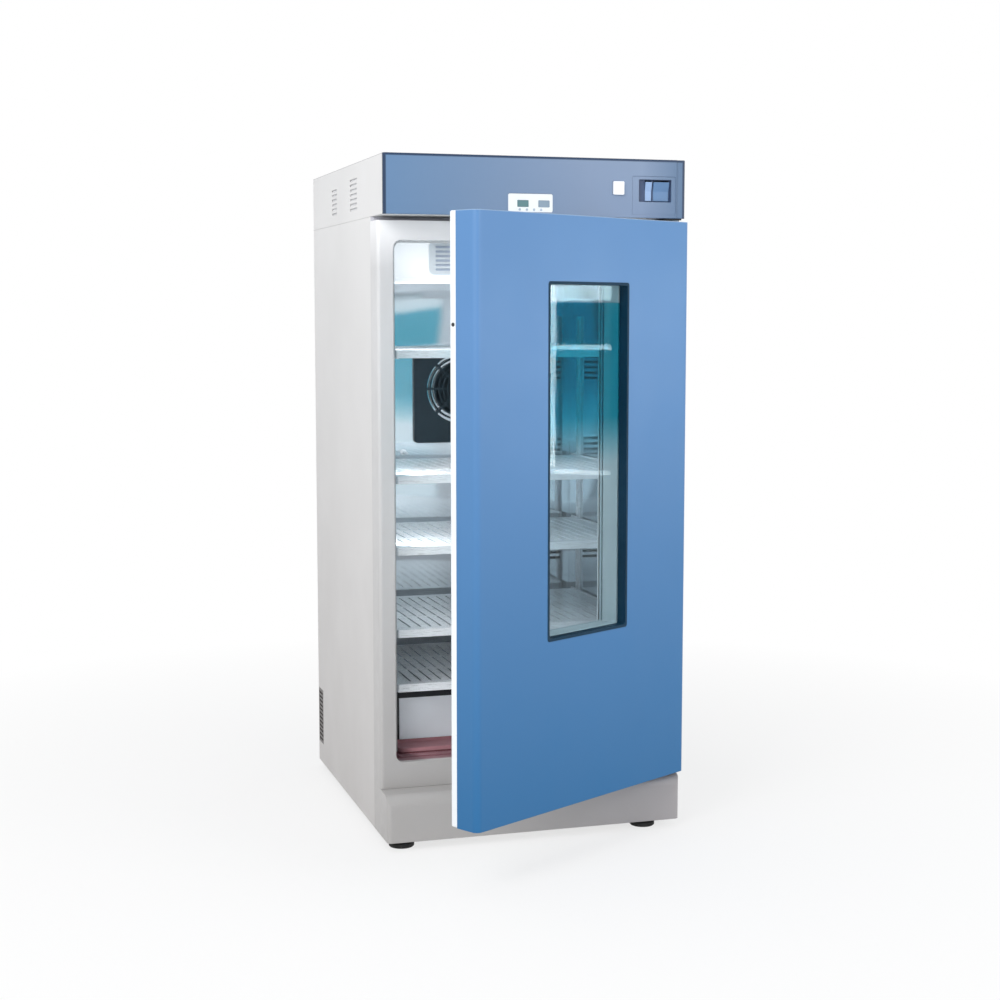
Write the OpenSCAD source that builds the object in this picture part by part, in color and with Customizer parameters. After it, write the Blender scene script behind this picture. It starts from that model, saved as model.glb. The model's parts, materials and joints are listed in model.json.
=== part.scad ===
// Floor-standing laboratory incubator: an insulated cabinet with a control header on top,
// one windowed door, five shelves, air circulation, cooling and heating.
// Lengths are in millimetres. +Z is up, the front faces -Y, and the origin lies on the floor
// under the middle of the cabinet. Sizes in y are set back from the header front.

/* [Cabinet] */
// Width of the cabinet
cab_w = 690; // [660:10:760]
// Depth from the header front to the rear panel
cab_d = 794; // [780:2:860]
// Height of the cabinet above its feet
cab_h = 1500; // [1480:10:1600]
// Height of the control header
header_h = 128; // [122:1:140]
// Height of the base cover under the door
base_h = 105; // [95:1:112]
// Set-back of the side panels behind the header front
side_setback = 131; // [122:1:145]
// Thickness of the casing sheet
sheet_t = 1.5; // [1:0.1:2]
// Width of the folded flanges of the casing sheets
flange_w = 12; // [8:1:16]
// Radius of the rear corners of the casing
casing_r = 8; // [4:1:12]
// Height of the black strip between header and front frame
header_strip_h = 10; // [6:1:22]

/* [Chamber] */
// Thickness of the insulated side walls
wall_side = 48; // [44:1:56]
// Thickness of the insulated rear wall
wall_rear = 59; // [52:1:68]
// Depth from the header down to the chamber ceiling
wall_top = 42; // [34:1:50]
// Height of the chamber floor
floor_z = 166; // [160:1:172]
// Height of the step over the machine compartment
step_z = 290; // [282:1:296]
// Set-back of the front of that step
step_y = 250; // [246:1:262]
// Thickness of the liner sheet
liner_t = 1.2; // [0.8:0.1:1.5]
// Width of the front frame beside the chamber opening
frame_side = 36; // [35:1:40]
// Height of the front frame above the chamber opening
frame_top = 42; // [32:1:48]
// Radius of the corners of the chamber opening
opening_r = 18; // [10:1:24]

/* [Door] */
// Radius of the door's front edges
door_edge_r = 14; // [6:1:16]
// How far the closed door stands proud of the header front
door_proud = 12; // [6:1:16]
// Gap between the door and the header, and between the door and the base cover
door_gap = 8; // [7:1:10]
// Gap between the door's edge and the cabinet's side
door_side_gap = 1; // [0:0.5:3]
// Depth of the painted door shell
shell_d = 57; // [52:1:62]
// Depth of the edge of the inner door panel
inner_edge_d = 15; // [10:1:18]
// Height of the closed door gasket
gasket_d = 6; // [4:0.5:8]
// Width of the door gasket
gasket_w = 12; // [8:1:13]
// Distance of the hinge axis from the door's hinge edge
hinge_inset = 18; // [16:1:22]
// Distance of the hinge axis behind the door's face
hinge_back = 30; // [26:1:34]
// Angle at which the door stands open
door_open = 30; // [20:1:60]
// Radius of the hinge pins
pin_r = 4; // [3:0.5:5]
// Thickness of the hinge bracket plates
bracket_t = 3; // [2:0.5:4]
// Height that the raised inner face of the door stands out
dyke_d = 16; // [8:1:20]

/* [Window] */
// Width of the window opening in the door
win_w = 262; // [200:2:320]
// Height of the door above the window
win_above = 137; // [110:1:180]
// Height of the door under the window
win_z = 364; // [300:1:400]
// Depth at which the outer pane lies in the opening
win_recess = 22; // [12:1:28]
// Width of the glazing frame around the glass
trim_w = 6; // [5:0.5:16]
// Thickness of each glass pane
pane_t = 4; // [3:0.5:5]

/* [Shelves] */
// Height of the first shelf, in percent of the way from the step to the ceiling
shelf_1_at = 76; // [72:0.5:78]
// Height of the second shelf
shelf_2_at = 49; // [46:0.5:54]
// Height of the third shelf
shelf_3_at = 33.5; // [28:0.5:38]
// Height of the fourth shelf
shelf_4_at = 15.5; // [13:0.5:20]
// Height of the fifth shelf
shelf_5_at = 3.5; // [3.5:0.5:6]
// Depth of a shelf
shelf_d = 470; // [400:5:480]
// Height of the folded shelf lip
shelf_lip = 18; // [12:1:20]
// Thickness of the shelf sheet
shelf_t = 1.5; // [1:0.1:2.5]
// Width of the ledge that carries a shelf
ledge_w = 14; // [10:1:18]
// How far a shelf slides out under the closed door
shelf_travel = 40; // [20:5:40]

/* [Air circulation] */
// Depth of the air duct in front of the chamber's rear wall
duct_d = 85; // [80:1:92]
// Radius of the circulation wheel
wheel_r = 82; // [60:1:88]
// Width of the circulation wheel
wheel_w = 34; // [20:1:36]
// Number of blades on the circulation wheel
wheel_blades = 28; // [16:2:36]
// Depth of the circulation wheel's centre under the chamber's ceiling
wheel_drop = 358; // [330:2:380]
// Radius of the condenser fan
fan_r = 78; // [60:1:84]
// Number of condenser fan blades
fan_blades = 5; // [3:1:7]

/* [Feet] */
// Height of the feet under the cabinet
foot_h = 20; // [16:1:26]
// Radius of a foot
foot_r = 28.5; // [22:0.5:32]
// Distance of the left feet from the cabinet's left side
foot_left = 42; // [36:1:70]
// Distance of the right feet from the cabinet's right side
foot_right = 73; // [36:1:90]
// Distance of the feet from the cabinet's front and back
foot_setback = 47; // [36:1:70]
// Travel of a levelling foot
foot_travel = 12; // [6:1:14]
// Radius of the levelling screws
stud_r = 5; // [4:0.5:6]

/* [Controls] */
// How far the middle of the display panel lies right of the cabinet's middle
display_shift = -18; // [-60:1:10]
// Distance of the switches from the cabinet's right side
switch_right = 34; // [30:1:44]
// Width of the display panel
display_w = 102; // [90:1:130]
// Height of the display panel
display_h = 40; // [36:1:44]
// Travel of the start button
button_travel = 3; // [1:0.5:4]
// Angle between the two positions of a rocker
rocker_swing = 16; // [10:1:20]

/* [Hidden] */
$fn = 48;

// Clearance between pieces that lie against each other
fit = 0.3;
// Radial clearance of a shaft in its bore
running = 0.05;
// A little more than nothing, so that cuts run through
eps = 0.01;

// Heights in the cabinet, above the underside of its body
header_z = cab_h - header_h;
ceiling_z = header_z - wall_top;
door_z = base_h + door_gap;
door_w = cab_w - 2 * door_side_gap;
door_h = header_z - door_gap - door_z;
door_d = shell_d + inner_edge_d + gasket_d;
// Plane on which the gasket of the closed door seals
seal_y = door_d - door_proud + fit;
// Hinge axis, in the cabinet's own corner frame
hinge_x = door_side_gap + door_w - hinge_inset;
hinge_y = hinge_back - door_proud;
// Inside of the chamber
chamber_x = wall_side;
chamber_w = cab_w - 2 * wall_side;
chamber_rear = cab_d - wall_rear;
opening_z = floor_z - 2;
opening_h = header_z - header_strip_h - frame_top - opening_z;
duct_y = chamber_rear - duct_d;
wheel_z = ceiling_z - wheel_drop;
function shelf_top(percent) = step_z + (ceiling_z - step_z) * percent / 100;
shelf_tops = [for (p = [shelf_1_at, shelf_2_at, shelf_3_at, shelf_4_at, shelf_5_at]) shelf_top(p)];
// Machine compartment behind the step
machine_top = step_z - 28;
machine_y = step_y + 28;
pan_t = 2;
pan_h = 20;

// Places everything that is measured from the cabinet's lower left front corner
module in_cabinet() {
    translate([-cab_w / 2, -cab_d / 2, foot_h]) children();
}

// Places a door piece, drawn closed and from the door's free lower front corner
module in_door() {
    in_cabinet()
        translate([hinge_x, hinge_y, 0])
            rotate([0, 0, door_open])
                translate([door_side_gap - hinge_x, -door_proud - hinge_y, door_z])
                    children();
}

// Extrudes a profile drawn in X and Z, from y backwards
module along_y(y, depth) {
    translate([0, y + depth, 0]) rotate([90, 0, 0]) linear_extrude(depth) children();
}

// Extrudes a profile drawn in Y and Z, from x to the right
module along_x(x, width) {
    translate([x, 0, 0]) rotate([90, 0, 90]) linear_extrude(width) children();
}

// A rectangle with round corners, from its lower left corner
module rounded(w, h, r) {
    translate([r, 0]) square([w - 2 * r, h]);
    translate([0, r]) square([w, h - 2 * r]);
    for (x = [r, w - r], y = [r, h - r]) translate([x, y]) circle(r);
}

// A row of upright or level slots with round ends, count long at the given pitch
module slot_rows(count, pitch, length, height) {
    for (i = [0 : count - 1])
        translate([0, i * pitch])
            rounded(length, height, height / 2 - eps);
}

// ---- Cabinet ----

module foot_places() {
    for (x = [foot_left, cab_w - foot_right], y = [foot_setback, cab_d - foot_setback])
        translate([x, y, 0]) children();
}

// Folded tray under the whole cabinet, with a threaded boss over each foot
module base_pan() color("gainsboro") in_cabinet() {
    x0 = sheet_t + fit;
    y0 = 2 * sheet_t + fit;
    w = cab_w - 2 * x0;
    d = cab_d - y0 - 2 * sheet_t - fit;
    boss_h = stud_length() - foot_travel - 4;
    difference() {
        union() {
            difference() {
                translate([x0, y0, 0]) linear_extrude(pan_h) rounded(w, d, casing_r);
                translate([x0 + pan_t, y0 + pan_t, pan_t]) linear_extrude(pan_h)
                    rounded(w - 2 * pan_t, d - 2 * pan_t, casing_r - pan_t);
            }
            foot_places() cylinder(r = 2.2 * stud_r, h = boss_h);
        }
        foot_places() translate([0, 0, -eps]) cylinder(r = stud_r + running, h = boss_h + 1);
    }
}

// Kick cover under the door with a round upper edge, open behind and below
kick_r = 26;
module base_cover() color("gainsboro") in_cabinet()
    difference() {
        kick_block(0);
        kick_block(sheet_t);
    }

module kick_block(inset) {
    over = inset > 0 ? 1 : 0;
    r = kick_r - inset;
    intersection() {
        translate([0, 0, -over]) linear_extrude(base_h + over - inset) kick_outline(inset);
        along_x(-1, cab_w + 2) union() {
            translate([inset, -over]) square([cab_w, base_h + over - kick_r]);
            translate([inset + r, -over]) square([cab_w, base_h + over - inset]);
            translate([inset + r, base_h - kick_r]) circle(r);
        }
    }
}

module kick_outline(inset) {
    r = 10 - inset;
    w = cab_w - 2 * inset;
    d = side_setback - inset + (inset > 0 ? eps : 0);
    translate([inset, inset]) {
        translate([r, 0]) square([w - 2 * r, d]);
        translate([0, r]) square([w, d - r]);
        for (x = [r, w - r]) translate([x, r]) circle(r);
    }
}

// Side sheet folded in at the front and, round a radius, at the back
module side_profile() {
    y0 = side_setback;
    difference() {
        union() {
            translate([0, y0]) square([flange_w, cab_d - y0 - casing_r]);
            translate([casing_r, y0]) square([flange_w - casing_r, cab_d - y0]);
            translate([casing_r, cab_d - casing_r]) circle(casing_r);
        }
        translate([sheet_t, y0 + sheet_t])
            square([flange_w, cab_d - y0 - casing_r - sheet_t]);
        translate([casing_r, y0 + sheet_t])
            square([flange_w, cab_d - y0 - 2 * sheet_t]);
        translate([casing_r, cab_d - casing_r]) circle(casing_r - sheet_t);
    }
}

vent_pitch = 11;
vent_slot = 5;

module side_panel(louvres) {
    difference() {
        linear_extrude(header_z - fit) side_profile();
        translate([sheet_t, side_setback - 1, -eps]) cube([flange_w, 12, pan_h + 0.5]);
        if (louvres)
            along_x(-eps, sheet_t + 2 * eps)
                translate([cab_d - 62, 58]) slot_rows(12, vent_pitch, 46, vent_slot);
    }
}

module left_side_panel() color("white") in_cabinet() side_panel(true);

module right_side_panel() color("white") in_cabinet()
    translate([cab_w, 0, 0]) mirror([1, 0, 0]) side_panel(true);

// Back sheets lie inside the flanges of the side panels
back_y = cab_d - 2 * sheet_t - fit / 2;
back_x = casing_r;
grille_top = machine_top + 20;

module rear_panel() color("whitesmoke") in_cabinet()
    translate([back_x, back_y, grille_top + 1])
        cube([cab_w - 2 * back_x, sheet_t, header_z - grille_top - 2]);

// Louvred cover of the machine compartment
module machine_grille() color("lightgray") in_cabinet()
    difference() {
        translate([back_x, back_y, pan_h + 1])
            cube([cab_w - 2 * back_x, sheet_t, grille_top - pan_h - 1]);
        for (x = [60 : 104 : cab_w - 150])
            along_y(back_y - eps, sheet_t + 2 * eps)
                translate([x, pan_h + 40])
                    slot_rows(floor((grille_top - pan_h - 80) / 14), 14, 84, 6);
        along_y(back_y - eps, sheet_t + 2 * eps)
            translate([cab_w - 46, 50]) circle(gland_r + 0.2);
    }

// ---- Header ----

fascia_d = 12;
header_rear = cab_d - sheet_t;

// Box over the chamber, open at the front where the fascia closes it
module header_casing() color("white") in_cabinet()
    difference() {
        translate([0, fascia_d, header_z])
            linear_extrude(header_h) header_outline(0);
        translate([0, fascia_d, header_z + sheet_t])
            linear_extrude(header_h - 2 * sheet_t) header_outline(sheet_t);
        for (side = [0, 1])
            translate([side * (cab_w - sheet_t - 2 * eps), 0, 0])
                along_x(-eps, sheet_t + 4 * eps) {
                    translate([264, header_z + 23]) slot_rows(7, vent_pitch, 76, vent_slot);
                    translate([490, header_z + 24]) slot_rows(6, vent_pitch, 58, vent_slot);
                }
        in_header(0) cylinder(r = 3, h = 20, center = true);
    }

// Plan of the header behind its fascia, with round rear corners
module header_outline(inset) {
    r = casing_r - inset;
    d = cab_d - fascia_d - inset;
    front = inset > 0 ? -eps : 0;
    translate([inset, front]) square([cab_w - 2 * inset, d - r - front]);
    translate([inset + r, front]) square([cab_w - 2 * (inset + r), d - front]);
    for (x = [inset + r, cab_w - inset - r]) translate([x, d - r]) circle(r);
}

// Cable passage in the header's floor, over the rear duct
module in_header(z) {
    translate([cab_w - 120, chamber_rear + 20, header_z + z]) children();
}

display_x = cab_w / 2 + display_shift - display_w / 2;
button_w = 26;
button_h = 30;
button_z = header_z + 49;
switch_w = 77;
switch_x = cab_w - switch_right - switch_w;
button_x = switch_x - 62;
switch_h = 49;
switch_z = header_z + 35;
display_z = header_z + 8;

// Moulded front of the header, with a bevel down its right edge
module header_fascia() color("steelblue") in_cabinet()
    difference() {
        translate([0, 0, header_z]) linear_extrude(header_h)
            polygon([[4, 0], [cab_w - 22, 0], [cab_w - 20, 3], [cab_w - 4, 3],
                [cab_w, 7], [cab_w, fascia_d], [0, fascia_d], [0, 4]]);
        translate([sheet_t + 3, 5, header_z + 4])
            cube([cab_w - 2 * sheet_t - 6, fascia_d, header_h - 8]);
        along_y(-1, fascia_d) {
            translate([display_x, display_z]) rounded(display_w, display_h, 4);
            translate([button_x, button_z]) rounded(button_w, button_h, 3);
            translate([switch_x, switch_z]) rounded(switch_w, switch_h, 2);
        }
        along_y(-1, 2) translate([switch_x - 16, switch_z - 28])
            rounded(switch_w + 26, switch_h + 35, 3);
    }

// Black strip that closes the gap between the header and the front frame
module header_strip() color("black") in_cabinet()
    translate([1, side_setback - 14, header_z - header_strip_h + 0.2])
        cube([cab_w - 2, 14 - fit, header_strip_h - 0.4]);

// White panel around the two read-outs
module display_panel() color("white") in_cabinet()
    difference() {
        along_y(0.5, 6.5) translate([display_x + 0.2, display_z + 0.2])
            rounded(display_w - 0.4, display_h - 0.4, 4);
        for (i = [0, 1])
            along_y(-1, 3) translate([display_x + 21 + i * 48, display_z + 11])
                rounded(26, 15, 1.5);
    }

module display_windows() color("seagreen") in_cabinet()
    for (i = [0, 1])
        along_y(1, 1) translate([display_x + 21.1 + i * 48, display_z + 11.1])
            rounded(25.8, 14.8, 1.5);

// Sunk plate that carries the rockers
plate_y = 7;
rocker_h = 46;
rocker_z = switch_z + switch_h / 2;
rocker_axis = 7;
mains_x = switch_x + 54;
mains_w = 38;
lamp_x = switch_x + 24;
lamp_w = 16;

module switch_plate() color("midnightblue") in_cabinet()
    difference() {
        union() {
            along_y(plate_y, 26) translate([switch_x + 0.3, switch_z + 0.3])
                rounded(switch_w - 0.6, switch_h - 0.6, 2);
            along_y(5.1, 3) translate([switch_x - 6, switch_z - 6])
                rounded(switch_w + 12, switch_h + 12, 4);
        }
        along_y(5, 2) translate([switch_x, switch_z]) rounded(switch_w, switch_h, 2);
        for (r = [[mains_x, mains_w], [lamp_x, lamp_w]]) {
            along_y(plate_y - 1, 22) translate([r[0] - r[1] / 2, rocker_z - rocker_h / 2])
                square([r[1], rocker_h]);
            translate([r[0], plate_y + rocker_axis, rocker_z]) rotate([0, 90, 0])
                cylinder(r = 1.5 + running, h = r[1] + 5, center = true);
        }
    }

// A rocker turns on its own two stub pins
module rocker(x, w) {
    translate([x, plate_y + rocker_axis, rocker_z])
        rotate([rocker_swing / 2, 0, 0]) {
            along_x(-w / 2 + 0.5, w - 1)
                polygon([[-9, -21], [-6.5, 0], [-9, 21], [3, 17], [7, 0], [3, -17]]);
            rotate([0, 90, 0]) cylinder(r = 1.5, h = w + 2.6, center = true);
        }
}

module mains_rocker() color("royalblue") in_cabinet() rocker(mains_x, mains_w);
module lamp_rocker() color("lightblue") in_cabinet() rocker(lamp_x, lamp_w);

// Square white push button, guided in the fascia's hole
module start_button() color("white") in_cabinet()
    along_y(-button_travel - 1, 18) translate([button_x + fit, button_z + fit])
        rounded(button_w - 2 * fit, button_h - 2 * fit, 3 - fit);

// Controller board on four pillars on the header's floor, with a transformer
module control_board() color("darkgreen") in_cabinet()
    translate([display_x - 20, fascia_d + 58, header_z + sheet_t]) {
        translate([0, 0, 14]) cube([150, 100, 1.6]);
        for (x = [8, 142], y = [8, 92]) translate([x, y, 0]) cylinder(r = 3, h = 14 + eps);
        translate([14, 20, 15.6 - eps]) cube([44, 38, 34]);
        for (i = [0 : 2]) translate([76 + 22 * i, 60, 15.6 - eps]) cylinder(r = 7, h = 18);
        translate([76, 14, 15.6 - eps]) cube([60, 22, 12]);
    }

// ---- Chamber ----

// Moulded frame around the chamber opening, stepped in to meet the liner
frame_step_y = seal_y + 40;
module front_frame() color("gainsboro") in_cabinet()
    difference() {
        translate([0, 0, base_h + fit]) linear_extrude(header_z - header_strip_h - base_h - fit)
            frame_plan();
        along_y(seal_y - 1, frame_step_y - seal_y + 1)
            translate([frame_side, opening_z])
                rounded(cab_w - 2 * frame_side, opening_h, opening_r);
        along_y(seal_y, side_setback - seal_y + 2)
            translate([wall_side, floor_z])
                rounded(chamber_w, opening_z + opening_h - 4 - floor_z, opening_r - 4);
    }

module frame_plan() {
    r = 8;
    depth = side_setback - seal_y - fit;
    translate([r, seal_y]) square([cab_w - 2 * r, depth]);
    translate([0, seal_y + r]) square([cab_w, depth - r]);
    for (x = [r, cab_w - r]) translate([x, seal_y + r]) circle(r);
}

// Left, rear and right wall of the chamber, bent from one sheet round two coves
cove_r = 14;
module liner_wrap() color("silver") in_cabinet()
    difference() {
        translate([0, 0, floor_z - liner_t]) linear_extrude(ceiling_z - floor_z + liner_t)
            difference() {
                wrap_outline(0);
                wrap_outline(liner_t);
            }
        translate([-1, step_y + liner_t, 0]) cube([cab_w + 2, cab_d, step_z - liner_t]);
    }

module wrap_outline(inset) {
    x0 = chamber_x - liner_t + inset;
    w = cab_w - 2 * x0;
    y0 = side_setback + (inset > 0 ? -1 : 0);
    y1 = chamber_rear + liner_t - inset;
    r = cove_r + liner_t - inset;
    translate([x0, y0]) square([w, y1 - y0 - r]);
    translate([x0 + r, y0]) square([w - 2 * r, y1 - y0]);
    for (x = [x0 + r, x0 + w - r]) translate([x, y1 - r]) circle(r);
}

// Floor of the chamber, stepped up over the machine compartment
module liner_floor() color("silver") in_cabinet()
    difference() {
        intersection() {
            along_x(chamber_x, chamber_w)
                polygon([
                    [side_setback, floor_z], [step_y, floor_z], [step_y, step_z],
                    [chamber_rear, step_z], [chamber_rear, step_z - liner_t],
                    [step_y + liner_t, step_z - liner_t],
                    [step_y + liner_t, floor_z - liner_t],
                    [side_setback, floor_z - liner_t]]);
            linear_extrude(cab_h) wrap_outline(liner_t + 0.1);
        }
        pipe_passages(0.2);
    }

module liner_ceiling() color("silver") in_cabinet()
    translate([chamber_x, side_setback, ceiling_z + fit])
        cube([chamber_w, chamber_rear - side_setback, liner_t]);

// Foam between the casing and the liner, over and in front of the machine compartment
module insulation() color("khaki") in_cabinet()
    difference() {
        translate([sheet_t + 0.5, side_setback + sheet_t + 0.5, floor_z - 36])
            cube([cab_w - 2 * sheet_t - 1, back_y - side_setback - sheet_t - 1,
                header_z - floor_z + 36 - 1]);
        along_x(chamber_x - liner_t - 0.5, chamber_w + 2 * liner_t + 1)
            polygon([
                [0, floor_z - liner_t - 0.5], [step_y + liner_t + 0.5, floor_z - liner_t - 0.5],
                [step_y + liner_t + 0.5, step_z - liner_t - 0.5],
                [chamber_rear + liner_t + 0.5, step_z - liner_t - 0.5],
                [chamber_rear + liner_t + 0.5, ceiling_z + liner_t + 1],
                [0, ceiling_z + liner_t + 1]]);
        translate([0, machine_y, 0]) cube([cab_w, cab_d, machine_top]);
        for (x = [-eps, cab_w - flange_w - 0.5])
            translate([x, back_y - sheet_t - 10, 0])
                cube([flange_w + 0.5 + eps, 20, cab_h]);
        in_header(-wall_top - 1) cylinder(r = 4, h = wall_top + 2);
        pipe_passages(1.5);
    }

// White moulded housing under the ceiling, with a round-cornered air outlet
housing_h = 100;
housing_y = side_setback + 6;
housing_d = 190;
outlet_x = chamber_x + 86;
module top_housing() color("white") in_cabinet()
    difference() {
        housing_block(0);
        housing_block(2);
        along_y(housing_y - 1, 4) outlet_outline(0);
        translate([chamber_x, housing_y + 40, ceiling_z - housing_h - 1])
            translate([40, 0, 0]) cube([chamber_w - 80, 36, 4]);
    }

module housing_block(inset) {
    along_x(chamber_x + fit + inset, chamber_w - 2 * (fit + inset))
        polygon([[housing_y + inset, ceiling_z - (inset > 0 ? -1 : 0)],
            [housing_y + inset, ceiling_z - housing_h + 10],
            [housing_y + 10, ceiling_z - housing_h + inset],
            [housing_y + housing_d - 40, ceiling_z - housing_h + inset],
            [housing_y + housing_d - inset, ceiling_z - 40],
            [housing_y + housing_d - inset, ceiling_z - (inset > 0 ? -1 : 0)]]);
}

module outlet_outline(inset) {
    translate([outlet_x + inset, ceiling_z - housing_h + 16 + inset])
        rounded(cab_w - 2 * outlet_x - 2 * inset, housing_h - 24 - 2 * inset, 14 - inset);
}

// Grey louvre set back in the outlet
module air_outlet_grille() color("lightslategray") in_cabinet() {
    along_y(housing_y + 2.2, 3)
        difference() {
            translate([outlet_x - 8, ceiling_z - housing_h + 12])
                square([cab_w - 2 * outlet_x + 16, housing_h - 16]);
            translate([outlet_x + 16, ceiling_z - housing_h + 26])
                slot_rows(6, 10, cab_w - 2 * outlet_x - 32, 5);
        }
}

// Lamp tube with end caps, over the slot in the housing
module lamp_tube() color("white") in_cabinet()
    translate([chamber_x + 44, housing_y + 58, ceiling_z - housing_h + 20])
        rotate([0, 90, 0]) {
            cylinder(r = 13, h = chamber_w - 88);
            for (z = [0, chamber_w - 88 - 24]) {
                translate([0, 0, z]) cylinder(r = 16, h = 24);
                translate([-housing_h + 20 + fit, -9, z + 3])
                    cube([housing_h - 20 - fit, 18, 18]);
            }
        }

// Perforated sheet in front of the coil and the circulation wheel
duct_low = step_z + 100;
duct_high = ceiling_z - housing_h - 30;
module duct_panel() color("silver") in_cabinet()
    difference() {
        translate([chamber_x + fit, duct_y, duct_low])
            cube([chamber_w - 2 * fit, sheet_t, duct_high - duct_low]);
        along_y(duct_y - 1, 4) {
            for (x = [chamber_x + 24, cab_w - chamber_x - 24 - 90], z = [0.22, 0.5, 0.8])
                translate([x, duct_low + z * (duct_high - duct_low) - 45])
                    slot_rows(7, 14, 90, 6);
            translate([cab_w / 2, wheel_z]) circle(wheel_r - 16);
        }
    }

// Dark guard of concentric rings in front of the wheel
guard_w = 240;
guard_h = 240;
guard_z = wheel_z + 103 - guard_h;
module fan_guard() color("darkslategray") in_cabinet()
    difference() {
        along_y(duct_y - 10, 10 - fit)
            translate([cab_w / 2 - guard_w / 2, guard_z])
                rounded(guard_w, guard_h, 10);
        along_y(duct_y - 8, 10)
            translate([cab_w / 2 - guard_w / 2 + 2, guard_z + 2])
                rounded(guard_w - 4, guard_h - 4, 8);
        along_y(duct_y - 11, 6) translate([cab_w / 2, wheel_z])
            difference() {
                union() for (r = [14 : 11 : wheel_r]) ring(r + 7, r);
                for (a = [0 : 45 : 179]) rotate(a) square([2 * wheel_r + 40, 6], center = true);
            }
    }

module ring(outer, inner) {
    difference() {
        circle(outer);
        circle(inner);
    }
}

// Backward plate, hub, blades and front ring of the circulation wheel
shaft_r = 4;
wheel_y = duct_y + 10;
module circulation_wheel() color("dimgray") in_cabinet()
    translate([cab_w / 2, wheel_y, wheel_z]) rotate([-90, 0, 0])
        difference() {
            union() {
                translate([0, 0, wheel_w - 2]) cylinder(r = wheel_r, h = 2);
                translate([0, 0, wheel_w - 16]) cylinder(r = 12, h = 20);
                difference() {
                    cylinder(r = wheel_r, h = 2);
                    translate([0, 0, -1]) cylinder(r = wheel_r - 9, h = 4);
                }
                for (i = [0 : wheel_blades - 1])
                    rotate([0, 0, i * 360 / wheel_blades]) wheel_blade();
            }
            translate([0, 0, wheel_w - 17]) cylinder(r = shaft_r + running, h = 24);
        }

// A forward-curved blade, an arc of sheet across the rim
module wheel_blade() {
    arc_r = 12;
    translate([wheel_r - 9, 0, eps])
        linear_extrude(wheel_w - 1)
            intersection() {
                translate([0, -arc_r]) ring(arc_r, arc_r - 1.2);
                translate([0.5, -arc_r]) square([8, arc_r + 1]);
            }
}

// Motor behind the wheel, on the rear wall of the chamber
module fan_motor() color("gray") in_cabinet()
    translate([cab_w / 2, wheel_y, wheel_z]) rotate([-90, 0, 0]) {
        translate([0, 0, wheel_w - 14]) cylinder(r = shaft_r, h = 22);
        translate([0, 0, wheel_w + 6]) cylinder(r = 34, h = motor_h());
        translate([0, 0, wheel_w + 5]) cylinder(r = 14, h = 4);
        translate([-40, -40, wheel_w + 6 + motor_h() - 3])
            linear_extrude(3) rounded(80, 80, 8);
    }

function motor_h() = chamber_rear - fit - wheel_y - wheel_w - 6;

// Finned coil in the duct, carried between two end plates on the rear wall
coil_x = 120;
coil_w = cab_w - 2 * coil_x;
coil_z = duct_low + 60;
coil_h = 130;
coil_y = duct_y + 18;
module evaporator() color("silver") in_cabinet() {
    fin_pitch = 15;
    depth = 44;
    for (x = [coil_x, coil_x + coil_w - 2])
        translate([x, coil_y, coil_z]) cube([2, chamber_rear - fit - coil_y, coil_h]);
    for (x = [coil_x + fin_pitch : fin_pitch : coil_x + coil_w - fin_pitch])
        translate([x, coil_y, coil_z + 4]) cube([1, depth, coil_h - 8]);
    for (i = [0 : 3], j = [0, 1])
        translate([coil_x - 8, coil_y + 11 + 22 * j, coil_z + 20 + 30 * i])
            rotate([0, 90, 0]) cylinder(r = 5, h = coil_w + 16);
}

// Tubular heater bent in a serpentine over the coil
heater_z = coil_z + coil_h + 30;
module heater_element() color("dimgray") in_cabinet() {
    span = coil_w - 80;
    x0 = cab_w / 2 - span / 2;
    y0 = coil_y + 24;
    gap = 30;
    for (i = [0 : 2])
        translate([x0, y0, heater_z + i * gap]) rotate([0, 90, 0]) cylinder(r = 4, h = span);
    translate([x0 + span, y0, heater_z + gap / 2]) rotate([90, 0, 0]) half_turn(gap / 2, -90);
    translate([x0, y0, heater_z + 1.5 * gap]) rotate([90, 0, 0]) half_turn(gap / 2, 90);
    for (x = [x0 + 12, x0 + span - 12])
        translate([x - 5, y0 - 3, heater_z - 8])
            cube([10, chamber_rear - fit - y0 + 3, 2 * gap + 16]);
}

module half_turn(r, start) {
    rotate([0, 0, start]) rotate_extrude(angle = 180) translate([r, 0]) circle(4);
}

// Sensor rod held in a clip on the duct panel
module temperature_probe() color("silver") in_cabinet()
    translate([cab_w / 2 - 148, 0, wheel_z - guard_h / 2 - 40]) {
        translate([0, duct_y - 46, 0]) rotate([-90, 0, 0]) cylinder(r = 3, h = 46 - fit);
        translate([0, duct_y - 6, 0]) rotate([-90, 0, 0]) cylinder(r = 8, h = 6 - fit);
        translate([0, duct_y - 46, 0]) sphere(3);
    }

// Slotted strips that carry the shelf ledges
upright_t = 6;
upright_ys = [side_setback + 50, side_setback + shelf_d - 40];
upright_h = ceiling_z - housing_h - step_z - 80;
module shelf_uprights() color("silver") in_cabinet()
    for (side = [0, 1], y = upright_ys)
        side_of(side) translate([chamber_x + fit, y, step_z + 4])
            difference() {
                cube([upright_t, 18, upright_h]);
                translate([-eps, 2, -1]) cube([upright_t - 2, 14, upright_h + 2]);
                for (z = [12 : 24 : upright_h - 24])
                    translate([upright_t - 3, 6, z]) cube([4, 6, 12]);
            }

module side_of(side) {
    if (side == 0) children();
    else translate([cab_w, 0, 0]) mirror([1, 0, 0]) children();
}

// Angle ledges, one on each side under every shelf
ledge_x = chamber_x + fit + upright_t + 0.1;
module shelf_ledges() color("silver") in_cabinet()
    for (side = [0, 1], z = shelf_tops)
        side_of(side)
            along_y(side_setback + 20, shelf_d - 10)
                translate([ledge_x, z - shelf_lip - fit])
                    polygon([[0, 0], [0, shelf_lip + 4], [1.5, shelf_lip + 4], [1.5, 0],
                        [ledge_w, 0], [ledge_w, -1.5], [0, -1.5]]);

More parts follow.
